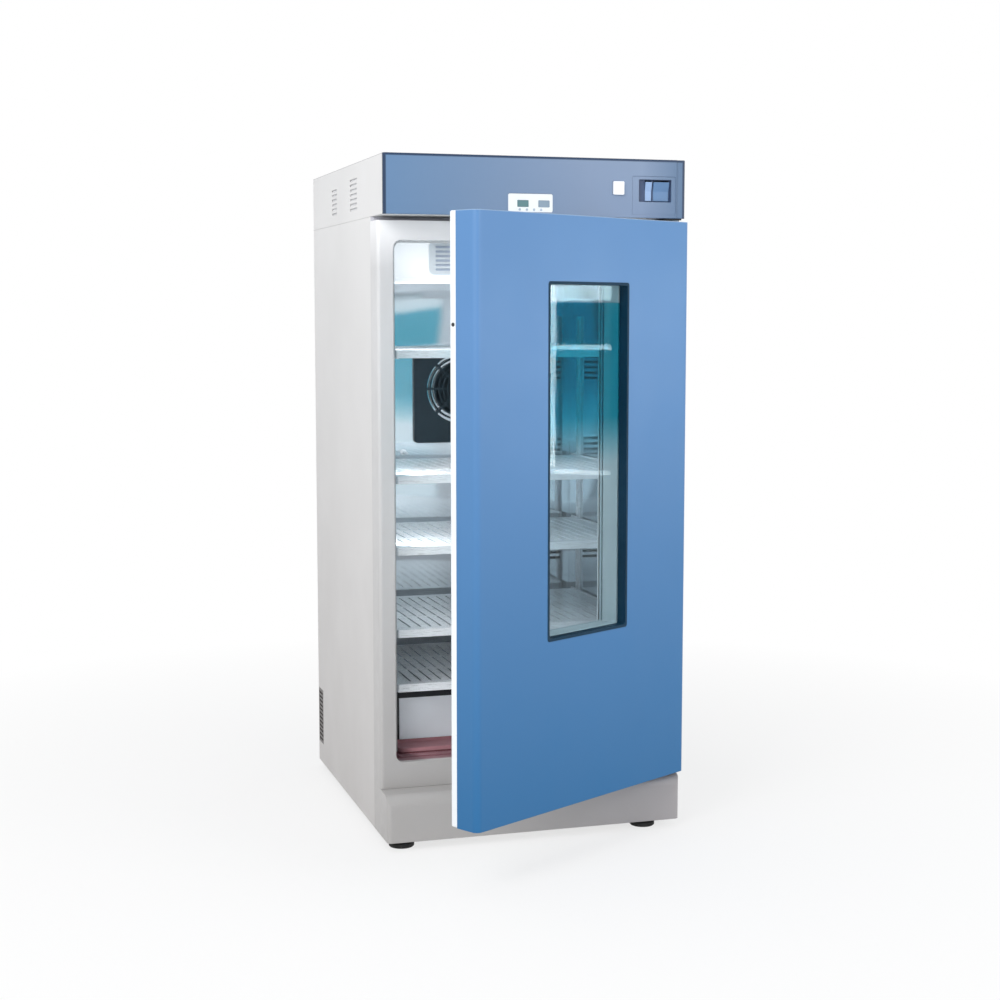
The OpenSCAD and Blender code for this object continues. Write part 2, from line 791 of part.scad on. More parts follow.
// Shelf of slotted sheet with four folded lips
shelf_x = ledge_x + 2.5;
shelf_w = cab_w - 2 * shelf_x;
module shelf(z) {
    slot_w = 5;
    slot_l = (shelf_d - 60) / 3 - 10;
    translate([shelf_x, side_setback, z - shelf_lip])
        difference() {
            linear_extrude(shelf_lip)
                difference() {
                    rounded(shelf_w, shelf_d, 4);
                    for (x = [34 : 24 : shelf_w - 36], i = [0 : 2])
                        translate([x, 30 + i * (slot_l + 15)])
                            rounded(slot_w, slot_l, slot_w / 2 - eps);
                }
            translate([shelf_t, shelf_t, -eps])
                linear_extrude(shelf_lip - shelf_t + eps)
                    rounded(shelf_w - 2 * shelf_t, shelf_d - 2 * shelf_t, 3);
        }
}

module shelf_1() color("silver") in_cabinet() shelf(shelf_tops[0]);
module shelf_2() color("silver") in_cabinet() shelf(shelf_tops[1]);
module shelf_3() color("silver") in_cabinet() shelf(shelf_tops[2]);
module shelf_4() color("silver") in_cabinet() shelf(shelf_tops[3]);
module shelf_5() color("silver") in_cabinet() shelf(shelf_tops[4]);

// Removable front of the step, folded from sheet, standing off the liner's walls
step_gap = 36;
cover_h = step_z - floor_z + 8;
module step_cover() color("lightsteelblue") in_cabinet()
    difference() {
        along_y(step_y - 14, 14 - fit)
            translate([chamber_x + step_gap, floor_z + 2])
                rounded(chamber_w - 2 * step_gap, cover_h, 3);
        along_y(step_y - 14 + sheet_t, 14)
            translate([chamber_x + step_gap + sheet_t, floor_z + 2 + sheet_t])
                rounded(chamber_w - 2 * (step_gap + sheet_t), cover_h - 2 * sheet_t, 2);
    }

// Shallow tray on the floor in front of the step
module condensate_tray() color("rosybrown") in_cabinet()
    difference() {
        translate([chamber_x + 14, side_setback + 12, floor_z + fit])
            linear_extrude(9) rounded(chamber_w - 28, step_y - side_setback - 32, 10);
        translate([chamber_x + 16, side_setback + 14, floor_z + fit + 2])
            linear_extrude(9) rounded(chamber_w - 32, step_y - side_setback - 36, 8);
    }

// ---- Machine compartment ----

comp_x = 190;
comp_y = step_y + 284;
module compressor() color("black") in_cabinet()
    translate([comp_x, comp_y, pan_t]) {
        for (x = [-80, 80], y = [-60, 60])
            translate([x, y, fit]) cylinder(r = 12, h = 16);
        translate([-95, -75, 16]) linear_extrude(3) rounded(190, 150, 12);
        translate([0, 0, 18]) rotate_extrude()
            polygon([[0, 0], [62, 0], [74, 14], [76, 30], [76, 84], [80, 86], [80, 92],
                [76, 94], [74, 120], [66, 146], [50, 162], [26, 172], [0, 175]]);
        translate([60, -24, 50]) cube([34, 48, 52]);
        translate([-84, 30, 70]) rotate([0, 90, 0]) cylinder(r = 5, h = 20);
        translate([-84, -30, 70]) rotate([0, 90, 0]) cylinder(r = 4, h = 20);
    }

// Finned block that sheds the heat, with a shroud ring for its fan
cond_x = cab_w - 260;
cond_w = 200;
cond_y = comp_y + 16;
cond_h = 200;
fan_x = cond_x + cond_w / 2;
fan_z = pan_t + 6 + cond_h / 2;
module condenser() color("dimgray") in_cabinet() {
    for (x = [cond_x, cond_x + cond_w - 2])
        translate([x, cond_y, pan_t + fit]) cube([2, 100, cond_h + 6]);
    for (x = [cond_x + 8 : 8 : cond_x + cond_w - 8])
        translate([x, cond_y, pan_t + 8]) cube([1, 50, cond_h - 8]);
    for (i = [0 : 5], j = [0, 1])
        translate([cond_x - 6, cond_y + 14 + 22 * j, pan_t + 24 + 32 * i])
            rotate([0, 90, 0]) cylinder(r = 4.5, h = cond_w + 12);
    along_y(cond_y + 62, 38)
        difference() {
            translate([cond_x, pan_t + 4]) square([cond_w, cond_h]);
            translate([fan_x, fan_z]) circle(fan_r + 5);
        }
}

// Motor behind the condenser fan, on a three-armed bracket
fan_y = cond_y + 66;
module condenser_motor() color("black") in_cabinet()
    translate([fan_x, fan_y, fan_z]) rotate([-90, 0, 0]) {
        translate([0, 0, 8]) cylinder(r = shaft_r, h = 26);
        translate([0, 0, 30]) cylinder(r = 30, h = 34);
        for (a = [30, 150, 270]) rotate([0, 0, a])
            translate([0, -5, 40]) cube([fan_r + 14, 10, 3]);
        for (a = [30, 150, 270]) rotate([0, 0, a])
            translate([fan_r + 10, 0, 34 + fit]) cylinder(r = 5, h = 8);
    }

// Axial fan: a hub and pitched blades
module condenser_fan() color("lightgray") in_cabinet()
    translate([fan_x, fan_y, fan_z]) rotate([-90, 0, 0])
        difference() {
            union() {
                translate([0, 0, 2]) cylinder(r = 20, h = 24);
                for (i = [0 : fan_blades - 1])
                    rotate([0, 0, i * 360 / fan_blades]) fan_blade();
            }
            translate([0, 0, 6]) cylinder(r = shaft_r + running, h = 24);
        }

module fan_blade() {
    intersection() {
        translate([0, 0, 2]) difference() {
            cylinder(r = fan_r, h = 24);
            translate([0, 0, -1]) cylinder(r = 16, h = 26);
        }
        translate([0, 0, 14]) rotate([28, 0, 0])
            linear_extrude(1.6)
                polygon([[14, -12], [40, -20], [fan_r + 4, -26], [fan_r + 4, 10],
                    [60, 20], [30, 16], [14, 10]]);
    }
}

// Pipes: hot gas to the condenser, liquid to the coil and suction gas back
pipe_r = 4;
gas_x = comp_x - 96;
suction_x = comp_x - 112;
suction_y = coil_y + 11;
liquid_x = cond_x - 18;
liquid_y = coil_y + 33;

module refrigerant_pipes() color("darkorange") in_cabinet() {
    top = machine_top - 34;
    low = pan_t + 24;
    stub = pan_t + 70;
    pipe([[comp_x - 84.1, comp_y + 30, stub], [gas_x, comp_y + 30, stub],
        [gas_x, comp_y + 30, top], [liquid_x, comp_y + 30, top],
        [liquid_x, comp_y + 30, low + 160], [cond_x - 6.1, comp_y + 30, low + 160]]);
    pipe([[comp_x - 84.1, comp_y - 30, stub], [suction_x, comp_y - 30, stub],
        [suction_x, comp_y - 30, top - 16], [suction_x, suction_y, top - 16],
        [suction_x, suction_y, coil_z + 20], [coil_x - 8.1, suction_y, coil_z + 20]]);
    pipe([[cond_x - 6.1, comp_y + 52, low], [liquid_x, comp_y + 52, low],
        [liquid_x, liquid_y, low], [liquid_x, liquid_y, coil_z - 16],
        [suction_x, liquid_y, coil_z - 16], [suction_x, liquid_y, coil_z + 110],
        [coil_x - 8.1, liquid_y, coil_z + 110]]);
}

// Holes for the pipes through the roof of the machine compartment
module pipe_passages(gap) {
    for (p = [[suction_x, suction_y], [liquid_x, liquid_y]])
        translate([p[0], p[1], machine_top - 5]) cylinder(r = pipe_r + gap, h = 40);
}

function unit(v) = v / norm(v);

// A pipe through the given corners, with a brazed elbow fitting at each
module pipe(points) {
    last = len(points) - 1;
    for (i = [0 : last - 1]) {
        way = unit(points[i + 1] - points[i]);
        side = abs(way[2]) > 0.5 ? [1, 0, 0] : [0, 0, 1];
        placed(points[i], side, cross(way, side), way)
            cylinder(r = pipe_r, h = norm(points[i + 1] - points[i]));
        if (i > 0) translate(points[i]) sphere(pipe_r + 1.2);
    }
}

// Moves a child to a point, with its own axes along the three given ones
module placed(point, x, y, z) {
    multmatrix([[x[0], y[0], z[0], point[0]], [x[1], y[1], z[1], point[1]],
        [x[2], y[2], z[2], point[2]], [0, 0, 0, 1]]) children();
}

gland_r = 9;
// Cord inlet in the rear cover
module cable_gland() color("black") in_cabinet()
    translate([cab_w - 46, back_y, 50]) rotate([-90, 0, 0])
        difference() {
            union() {
                translate([0, 0, -12]) cylinder(r = gland_r, h = 14);
                translate([0, 0, sheet_t + 0.05]) cylinder(r = gland_r + 4, h = 1.3);
                translate([0, 0, -6]) cylinder(r = gland_r + 5, h = 5.8, $fn = 6);
            }
            translate([0, 0, -13]) cylinder(r = 4.5, h = 22);
        }

// Pan-head screws that hold the back covers, seated on the sheets
module casing_screws() color("lightgray") in_cabinet()
    for (x = [40, cab_w / 2, cab_w - 40], z = [grille_top + 24, header_z - 30, grille_top - 8])
        translate([x, back_y + sheet_t + 0.02, z]) rotate([-90, 0, 0])
            difference() {
                cylinder(r1 = 5, r2 = 4, h = 1.5);
                translate([-0.6, -3, 0.9]) cube([1.2, 6, 2]);
                translate([-3, -0.6, 0.9]) cube([6, 1.2, 2]);
            }

// ---- Door ----

// Angle brackets on the header's floor and the base cover, each with its pin
pin_reach = 20;
bush_r = pin_r + 3;
bush_h = 24;
bracket_x = hinge_x - 32;
bracket_y = hinge_y - bush_r - 3;
module hinge_brackets() color("black") in_cabinet() {
    for (top = [0, 1])
        translate([0, 0, top == 1 ? header_z : base_h]) mirror([0, 0, top]) {
            translate([bracket_x, bracket_y, fit])
                linear_extrude(bracket_t) rounded(46, seal_y - 6 - bracket_y, 4);
            translate([hinge_x, hinge_y, fit + bracket_t - eps])
                cylinder(r = pin_r, h = door_gap - bracket_t - fit + pin_reach);
        }
}

// Flanged bushes pressed into the door's ends
module hinge_bushes() color("dimgray") in_door()
    for (top = [0, 1])
        translate([door_w - hinge_inset, hinge_back, top * door_h]) mirror([0, 0, top])
            difference() {
                union() {
                    cylinder(r = bush_r, h = bush_h);
                    translate([0, 0, -(door_gap - bracket_t - 2 * fit)])
                        cylinder(r = bush_r + 3, h = door_gap - bracket_t - 2 * fit);
                }
                translate([0, 0, -door_gap]) cylinder(r = pin_r + running, h = bush_h + 2 * door_gap);
            }

module bush_holes(r) {
    for (z = [-1, door_h - bush_h - 1])
        translate([door_w - hinge_inset, hinge_back, z]) cylinder(r = r, h = bush_h + 2);
}

win_x = (door_w - win_w) / 2;
win_h = door_h - win_above - win_z;
shell_t = 1.5;

// Plan of the door with two round front edges
module door_plan(inset) {
    r = door_edge_r - inset;
    w = door_w - 2 * inset;
    d = shell_d - inset + (inset > 0 ? 1 : 0);
    translate([inset, inset]) {
        translate([r, 0]) square([w - 2 * r, d]);
        translate([0, r]) square([w, d - r]);
        for (x = [r, w - r]) translate([x, r]) circle(r);
    }
}

// Painted pan of the door, folded inwards around the window
module door_shell() color("steelblue") in_door()
    difference() {
        union() {
            difference() {
                linear_extrude(door_h) door_plan(0);
                translate([0, 0, shell_t]) linear_extrude(door_h - 2 * shell_t) door_plan(shell_t);
            }
            along_y(eps, win_recess) translate([win_x - shell_t, win_z - shell_t])
                rounded(win_w + 2 * shell_t, win_h + 2 * shell_t, 6 + shell_t);
        }
        along_y(-1, win_recess + 2) translate([win_x, win_z]) rounded(win_w, win_h, 6);
        bush_holes(bush_r + running);
    }

module door_insulation() color("khaki") in_door()
    difference() {
        translate([shell_t + door_edge_r, shell_t + 0.5, shell_t + 0.5])
            cube([door_w - 2 * (shell_t + door_edge_r), shell_d - shell_t - 1,
                door_h - 2 * shell_t - 1]);
        along_y(-1, shell_d + 2) translate([win_x - shell_t - 0.5, win_z - shell_t - 0.5])
            rounded(win_w + 2 * shell_t + 1, win_h + 2 * shell_t + 1, 6 + shell_t);
        bush_holes(bush_r + 3);
    }

// White inner panel with a raised ring around the window
dyke_inset = 54;
module door_inner_panel() color("white") in_door()
    difference() {
        union() {
            along_y(shell_d + eps, inner_edge_d) rounded(door_w, door_h, 5);
            along_y(shell_d + inner_edge_d, dyke_d)
                translate([dyke_inset, dyke_inset])
                    rounded(door_w - 2 * dyke_inset, door_h - 2 * dyke_inset, 24);
        }
        along_y(shell_d - 1, inner_edge_d - 3) translate([4, 4])
            rounded(door_w - 8, door_h - 8, 5);
        along_y(shell_d + inner_edge_d - 5, dyke_d + 2)
            translate([dyke_inset + 3, dyke_inset + 3])
                rounded(door_w - 2 * dyke_inset - 6, door_h - 2 * dyke_inset - 6, 21);
        along_y(shell_d - 1, inner_edge_d + dyke_d + 2)
            translate([win_x - fit, win_z - fit])
                rounded(win_w + 2 * fit, win_h + 2 * fit, 6);
    }

// Soft seal around the inner face, a flattened tube
module door_gasket() color("white") in_door()
    along_y(shell_d + inner_edge_d + eps, gasket_d - eps)
        difference() {
            gasket_outline(hinge_inset + 2);
            gasket_outline(hinge_inset + 2 + gasket_w);
        }

module gasket_outline(inset) {
    translate([inset, inset]) rounded(door_w - 2 * inset, door_h - 2 * inset, 14);
}

// Glazing frame that lines the opening, with a groove for each pane
frame_end = shell_d + inner_edge_d + 4;
pane_ys = [win_recess, frame_end - 5 - pane_t];
pane_bite = 4;
module window_frame() color("midnightblue") in_door()
    difference() {
        along_y(-0.4, frame_end + 0.4)
            translate([win_x + 0.15, win_z + 0.15]) rounded(win_w - 0.3, win_h - 0.3, 6);
        along_y(-1, frame_end + 5)
            translate([win_x + trim_w, win_z + trim_w])
                rounded(win_w - 2 * trim_w, win_h - 2 * trim_w, 4);
        for (y = pane_ys)
            along_y(y - 0.1, pane_t + 0.2) pane_outline(pane_bite);
    }

module window_panes() color("lightcyan") in_door()
    for (y = pane_ys)
        along_y(y, pane_t) pane_outline(pane_bite - 0.5);

module pane_outline(bite) {
    inset = trim_w - bite;
    translate([win_x + inset, win_z + inset])
        rounded(win_w - 2 * inset, win_h - 2 * inset, 5);
}

// Dark contact for the door sensor, let into the free edge of the inner panel
module door_contact() color("black") in_door()
    translate([-0.8, shell_d + inner_edge_d / 2, door_h - 225])
        rotate([0, 90, 0]) cylinder(r = 4, h = 0.8 - eps);

// ---- Feet ----

function stud_length() = foot_travel + pan_h + 12;

// Rubber-soled disc with its levelling screw
module levelling_foot(x, y) {
    translate([x, y, -foot_h]) {
        rotate_extrude()
            polygon([[0, 0], [foot_r - 2, 0], [foot_r, 2], [foot_r, 9], [foot_r - 3, 12],
                [14, foot_h - 4], [stud_r + 4, foot_h - 1.5], [0, foot_h - 1.5]]);
        cylinder(r = stud_r, h = foot_h + stud_length());
    }
}

module front_left_foot() color("dimgray") in_cabinet()
    levelling_foot(foot_left, foot_setback);
module front_right_foot() color("dimgray") in_cabinet()
    levelling_foot(cab_w - foot_right, foot_setback);
module rear_left_foot() color("dimgray") in_cabinet()
    levelling_foot(foot_left, cab_d - foot_setback);
module rear_right_foot() color("dimgray") in_cabinet()
    levelling_foot(cab_w - foot_right, cab_d - foot_setback);

base_pan();
base_cover();
left_side_panel();
right_side_panel();
rear_panel();
machine_grille();
header_casing();
header_fascia();
header_strip();
front_frame();
liner_wrap();
liner_floor();
liner_ceiling();
insulation();
top_housing();
air_outlet_grille();
lamp_tube();
duct_panel();
fan_guard();
evaporator();
heater_element();
temperature_probe();
fan_motor();
shelf_uprights();
shelf_ledges();
step_cover();
condensate_tray();
compressor();
condenser();
condenser_motor();
refrigerant_pipes();
display_panel();
display_windows();
switch_plate();
hinge_brackets();
cable_gland();
casing_screws();
control_board();
door_shell();
door_insulation();
door_inner_panel();
door_gasket();
window_frame();
window_panes();
hinge_bushes();
door_contact();
shelf_1();
shelf_2();
shelf_3();
shelf_4();
shelf_5();
circulation_wheel();
condenser_fan();
start_button();
mains_rocker();
lamp_rocker();
front_left_foot();
front_right_foot();
rear_left_foot();
rear_right_foot();
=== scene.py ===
import json
import math

import bmesh
import bpy
from mathutils import Matrix, Vector


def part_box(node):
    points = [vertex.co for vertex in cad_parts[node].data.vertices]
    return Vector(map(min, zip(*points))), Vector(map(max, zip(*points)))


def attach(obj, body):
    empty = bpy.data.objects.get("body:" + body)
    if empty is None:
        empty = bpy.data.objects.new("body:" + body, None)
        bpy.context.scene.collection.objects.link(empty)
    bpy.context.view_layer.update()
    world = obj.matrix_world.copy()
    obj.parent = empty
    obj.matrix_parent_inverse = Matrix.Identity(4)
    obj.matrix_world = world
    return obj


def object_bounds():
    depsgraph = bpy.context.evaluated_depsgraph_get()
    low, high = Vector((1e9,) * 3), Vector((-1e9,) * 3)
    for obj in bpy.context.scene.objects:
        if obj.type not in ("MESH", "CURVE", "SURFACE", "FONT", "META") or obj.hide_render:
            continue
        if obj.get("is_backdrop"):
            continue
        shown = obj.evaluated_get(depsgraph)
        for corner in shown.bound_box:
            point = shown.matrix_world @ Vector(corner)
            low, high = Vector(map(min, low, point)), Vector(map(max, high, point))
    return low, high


# The looks of the laboratory incubator: materials, small pieces, stage, lamps and
# camera. Lengths are in metres and in the frame's axes: +Z is up, the front faces
# -Y, and the origin lies on the floor under the middle of the cabinet.

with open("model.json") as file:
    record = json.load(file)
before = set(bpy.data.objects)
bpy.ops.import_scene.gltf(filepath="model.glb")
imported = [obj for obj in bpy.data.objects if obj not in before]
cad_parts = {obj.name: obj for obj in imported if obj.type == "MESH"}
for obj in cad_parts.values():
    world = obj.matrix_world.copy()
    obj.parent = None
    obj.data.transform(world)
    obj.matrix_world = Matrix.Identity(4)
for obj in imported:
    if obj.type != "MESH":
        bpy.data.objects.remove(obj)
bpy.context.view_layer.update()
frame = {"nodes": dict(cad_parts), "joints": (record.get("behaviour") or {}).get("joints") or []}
NODES = frame["nodes"]

# ---------------------------------------------------------------- shader tools

# The middle part of a noise texture's values, which is spread over a whole range
NOISE_LOW, NOISE_HIGH = 0.3, 0.7

# Colour sockets of a Mix node, whose names aren't unique
MIX_FACTOR, MIX_FIRST, MIX_SECOND, MIX_RESULT = 0, 6, 7, 2


def add_node(tree, kind, inputs=None, **properties):
    """Adds a node, with its properties and the values of its inputs."""
    node = tree.nodes.new(kind)
    for name, value in properties.items():
        setattr(node, name, value)
    for name, value in (inputs or {}).items():
        node.inputs[name].default_value = value
    return node


class Shader:
    """A node material built up in steps on one Principled shader."""

    def __init__(self, name, color, rough, metal=0.0, coat=0.0, coat_rough=0.1,
                 ior=1.5, transmission=0.0):
        self.mat = bpy.data.materials.new(name)
        self.mat.use_nodes = True
        self.tree = self.mat.node_tree
        self.bsdf = self.tree.nodes["Principled BSDF"]
        self.color = color
        self.set("Base Color", (*color, 1.0))
        self.set("Roughness", rough)
        self.set("Metallic", metal)
        self.set("Coat Weight", coat)
        self.set("Coat Roughness", coat_rough)
        self.set("IOR", ior)
        self.set("Transmission Weight", transmission)
        self.coords = self.add("ShaderNodeTexCoord").outputs["Object"]
        self.normal = None

    def add(self, kind, inputs=None, **properties):
        return add_node(self.tree, kind, inputs, **properties)

    def link(self, source, target):
        self.tree.links.new(source, target)

    def set(self, socket, value):
        self.bsdf.inputs[socket].default_value = value

    def noise(self, scale, detail=4.0, rough=0.55, stretch=(1, 1, 1), distortion=0.0):
        mapping = self.add("ShaderNodeMapping", {"Scale": stretch})
        self.link(self.coords, mapping.inputs["Vector"])
        texture = self.add("ShaderNodeTexNoise", {
            "Scale": scale, "Detail": detail, "Roughness": rough, "Distortion": distortion})
        self.link(mapping.outputs[0], texture.inputs["Vector"])
        return texture.outputs["Fac"]

    def spread(self, source, low, high, source_low=NOISE_LOW, source_high=NOISE_HIGH):
        """Maps a part of the source's range onto low to high."""
        remap = self.add("ShaderNodeMapRange", {
            "From Min": source_low, "From Max": source_high, "To Min": low, "To Max": high})
        self.link(source, remap.inputs["Value"])
        return remap.outputs["Result"]

    def shade(self, source, amount):
        """Varies the base colour a little, darker and lighter."""
        ramp = self.add("ShaderNodeValToRGB")
        ends = ramp.color_ramp.elements
        ends[0].position = NOISE_LOW
        ends[0].color = (*(c * (1 - amount) for c in self.color), 1)
        ends[1].position = NOISE_HIGH
        ends[1].color = (*(min(1, c * (1 + amount)) for c in self.color), 1)
        self.link(source, ramp.inputs[0])
        self.link(ramp.outputs[0], self.bsdf.inputs["Base Color"])

    def along(self, axis, start, end):
        """A mask that goes from 0 to 1 between two places on an object axis."""
        split = self.add("ShaderNodeSeparateXYZ")
        self.link(self.coords, split.inputs[0])
        return self.spread(split.outputs["XYZ".index(axis)], 0.0, 1.0, start, end)

    def across(self, direction, origin, start, end):
        """A mask that goes from 0 to 1 along any direction, measured from the origin."""
        dot = self.add("ShaderNodeVectorMath", {1: direction}, operation="DOT_PRODUCT")
        self.link(self.coords, dot.inputs[0])
        base = Vector(direction).dot(Vector(origin))
        return self.spread(dot.outputs["Value"], 0.0, 1.0, start + base, end + base)

    def combine(self, operation, masks):
        total = masks[0]
        for mask in masks[1:]:
            math_node = self.add("ShaderNodeMath", operation=operation)
            self.link(total, math_node.inputs[0])
            self.link(mask, math_node.inputs[1])
            total = math_node.outputs[0]
        return total

    def either(self, *masks):
        """1 where any of the masks is 1."""
        return self.combine("MAXIMUM", masks)

    def inside(self, *masks):
        """1 where all of the masks are 1."""
        return self.combine("MULTIPLY", masks)

    def between(self, axis, low, high, edge):
        """1 between two places on an object axis, with edges that wide."""
        half = edge / 2
        return self.inside(self.along(axis, low - half, low + half),
                           self.along(axis, high + half, high - half))

    def recolor(self, color, mask):
        """Lays another colour over the base colour where the mask is 1."""
        base = self.bsdf.inputs["Base Color"]
        mix = self.add("ShaderNodeMix", {MIX_SECOND: (*color, 1.0)}, data_type="RGBA")
        self.link(mask, mix.inputs[MIX_FACTOR])
        if base.links:
            self.link(base.links[0].from_socket, mix.inputs[MIX_FIRST])
        else:
            mix.inputs[MIX_FIRST].default_value = (*self.color, 1.0)
        self.link(mix.outputs[MIX_RESULT], base)

    def rough(self, source, low, high):
        self.link(self.spread(source, low, high), self.bsdf.inputs["Roughness"])

    def set_normal(self, socket):
        self.normal = socket
        self.link(socket, self.bsdf.inputs["Normal"])

    def bump(self, source, strength, distance):
        bump = self.add("ShaderNodeBump", {"Strength": strength, "Distance": distance})
        self.link(source, bump.inputs["Height"])
        if self.normal is not None:
            self.link(self.normal, bump.inputs["Normal"])
        self.set_normal(bump.outputs[0])

    def round_edges(self, radius):
        bevel = self.add("ShaderNodeBevel", {"Radius": radius}, samples=4)
        self.set_normal(bevel.outputs[0])


# ---------------------------------------------------------------- kinds of material


def painted(name, color, rough, coat=0.0, vary=0.03):
    """Powder coat on sheet metal, with a fine orange peel."""
    s = Shader(name, color, rough=rough, coat=coat, coat_rough=0.25)
    s.round_edges(0.002)
    s.set("Specular IOR Level", 0.38)
    s.shade(s.noise(2.2, detail=3), vary)
    s.rough(s.noise(7.0), rough - 0.05, rough + 0.07)
    s.bump(s.noise(420.0, detail=2), strength=0.12, distance=0.0004)
    return s


def moulded(name, color, rough, grain=900.0, bump=0.15, vary=0.025, coat=0.0):
    """Moulded plastic with a fine grain."""
    s = Shader(name, color, rough=rough, coat=coat, coat_rough=0.15)
    s.round_edges(0.0015)
    s.shade(s.noise(5.0), vary)
    s.rough(s.noise(30.0), rough - 0.06, rough + 0.08)
    s.bump(s.noise(grain, detail=2), strength=bump, distance=0.0003)
    return s


def polished(name, color, rough, wave):
    """Bare metal with a fine vertical brush."""
    brush = (1, 1, 60)
    s = Shader(name, color, rough=rough, metal=1.0)
    s.shade(s.noise(3.0, detail=3), 0.05)
    s.rough(s.noise(40.0, detail=6, stretch=brush), rough * 0.7, rough * 1.6)
    s.bump(s.noise(1.6, detail=1, distortion=0.6), strength=wave, distance=0.02)
    s.bump(s.noise(160.0, stretch=brush), strength=0.05, distance=0.0005)
    return s


def brushed(name, color, rough, metal, brush=(1, 1, 60), wave=0.25):
    """Satin steel sheet: part mirror, part diffuse, and slightly wavy."""
    s = Shader(name, color, rough=rough, metal=metal)
    s.round_edges(0.001)
    s.shade(s.noise(3.0, detail=3), 0.04)
    s.rough(s.noise(40.0, stretch=brush), rough * 0.9, rough * 1.2)
    s.bump(s.noise(1.4, detail=1, distortion=0.5), strength=wave, distance=0.02)
    s.bump(s.noise(160.0, stretch=brush), strength=0.02, distance=0.0005)
    return s


def rubber(name, color, rough):
    """Dull rubber, slightly uneven."""
    s = Shader(name, color, rough=rough)
    s.shade(s.noise(20.0), 0.12)
    s.rough(s.noise(60.0, detail=5), rough - 0.1, rough + 0.1)
    s.bump(s.noise(500.0, detail=3), strength=0.25, distance=0.0005)
    return s


# ---------------------------------------------------------------- places for paint

# The door as packed: its hinge axis and the direction into the closed cabinet
HINGE = next(j for j in frame["joints"] if j["name"] == "door_hinge")
PIVOT = Vector(HINGE["pos_m"])
OPEN = math.radians(-HINGE["range_deg"][0])
INWARD = Vector((-math.sin(OPEN), math.cos(OPEN), 0))
HINGE_DEPTH = 0.030                   # from the door's face to the hinge axis
DOOR_FRONT = PIVOT - HINGE_DEPTH * INWARD
DOOR_TOP = 1.384
LINING_SHADE_DEPTH = 0.022                  # where the window lining's painted shade ends and it turns pale
GLASS_TINT = (0.86, 0.96)             # heights between which the glass turns green
GLASS_TOP_BAND = 1.2045               # above it the glass is clear again

HEADER_LEFT, HEADER_RIGHT = (end.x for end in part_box("header_casing"))
HEADER_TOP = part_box("header_casing")[1][2]
FRAME_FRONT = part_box("front_frame")[0][1]
STEP_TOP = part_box("step_cover")[1][2]
STEP_SHADE_BAND = 0.0285                    # height of the band of painted shade at the step's top
FLOOR_LEVEL = 0.190                   # of the chamber's floor, brown below
SILL_HALF_WIDTH, SILL_TOP = 0.3025, 0.1985
VENT_Y = (0.3295, 0.3855)             # the patch of painted shade behind the side louvres
VENT_Z = (0.0705, 0.2125)
SHADE_HIGH, SHADE_LOW = 1.40, -0.30   # heights of the casing's painted shade gradient

# ---------------------------------------------------------------- materials

PAINT = (0.79, 0.785, 0.78)
# Colour of the painted shade low on the casing and the sides
PAINTED_SHADE = (0.48, 0.455, 0.44)
STEEL = (0.80, 0.85, 0.89)
CHAMBER_WHITE = (0.93, 0.97, 1.0)

# The casing's colour darkens downwards, as painted shade. Its top is painted a darker grey, as
# painted shade against the lamps' glare
casing = painted("casing_paint", PAINT, rough=0.42)
casing.recolor(PAINTED_SHADE, casing.along("Z", SHADE_HIGH, SHADE_LOW))
casing.recolor((0.50, 0.50, 0.50),
               casing.along("Z", HEADER_TOP - 0.0020, HEADER_TOP - 0.0005))

# The sides' colour darkens downwards too, as painted shade, with a patch painted dark behind
# their louvres as painted shade
side_paint = painted("side_paint", PAINT, rough=0.42)
side_paint.recolor(PAINTED_SHADE, side_paint.along("Z", SHADE_HIGH, SHADE_LOW))
side_paint.recolor((0.105, 0.095, 0.092), side_paint.inside(
    side_paint.between("Y", *VENT_Y, edge=0.001),
    side_paint.between("Z", *VENT_Z, edge=0.001)))

# The header's colour is painted a deeper blue to the left and darker at its right end, as
# painted shade, with navy edges
header_paint = painted("header_paint", (0.205, 0.275, 0.400), rough=0.42, coat=0.10)
header_paint.recolor((0.110, 0.215, 0.375), header_paint.along("X", 0.12, -0.40))
header_paint.recolor((0.085, 0.155, 0.265), header_paint.along("X", 0.24, HEADER_RIGHT))
header_paint.recolor((0.012, 0.035, 0.085), header_paint.either(
    header_paint.along("X", HEADER_LEFT + 0.0065, HEADER_LEFT + 0.0045),
    header_paint.along("X", HEADER_RIGHT - 0.0080, HEADER_RIGHT - 0.0060),
    header_paint.along("Z", HEADER_TOP - 0.0060, HEADER_TOP - 0.0040)))

# The door's colour darkens downwards, as painted shade, and its top edge is painted pale, as a
# painted highlight
door_paint = painted("door_paint", (0.106, 0.252, 0.505), rough=0.42, coat=0.10)
door_paint.recolor((0.010, 0.133, 0.325), door_paint.along("Z", 1.15, 0.10))
door_paint.recolor((0.55, 0.68, 0.82),
                   door_paint.along("Z", DOOR_TOP - 0.002, DOOR_TOP + 0.001))

# The frame's colour darkens downwards and to the right, as painted shade, with a top painted
# white, as painted light under the header's shadow, and a brown sill
frame_mould = moulded("frame_moulding", (0.66, 0.66, 0.665), rough=0.4)
frame_mould.recolor((0.43, 0.415, 0.405), frame_mould.along("Z", 1.15, 0.05))
frame_mould.recolor((0.36, 0.34, 0.345), frame_mould.along("X", -0.10, 0.34))
frame_mould.recolor((0.93, 0.93, 0.94), frame_mould.along("Z", 1.28, 1.37))
frame_mould.recolor((0.19, 0.085, 0.10), frame_mould.inside(
    frame_mould.along("Y", FRAME_FRONT + 0.012, FRAME_FRONT + 0.015),
    frame_mould.along("Z", SILL_TOP + 0.0015, SILL_TOP - 0.0015),
    frame_mould.between("X", -SILL_HALF_WIDTH, SILL_HALF_WIDTH, edge=0.005)))

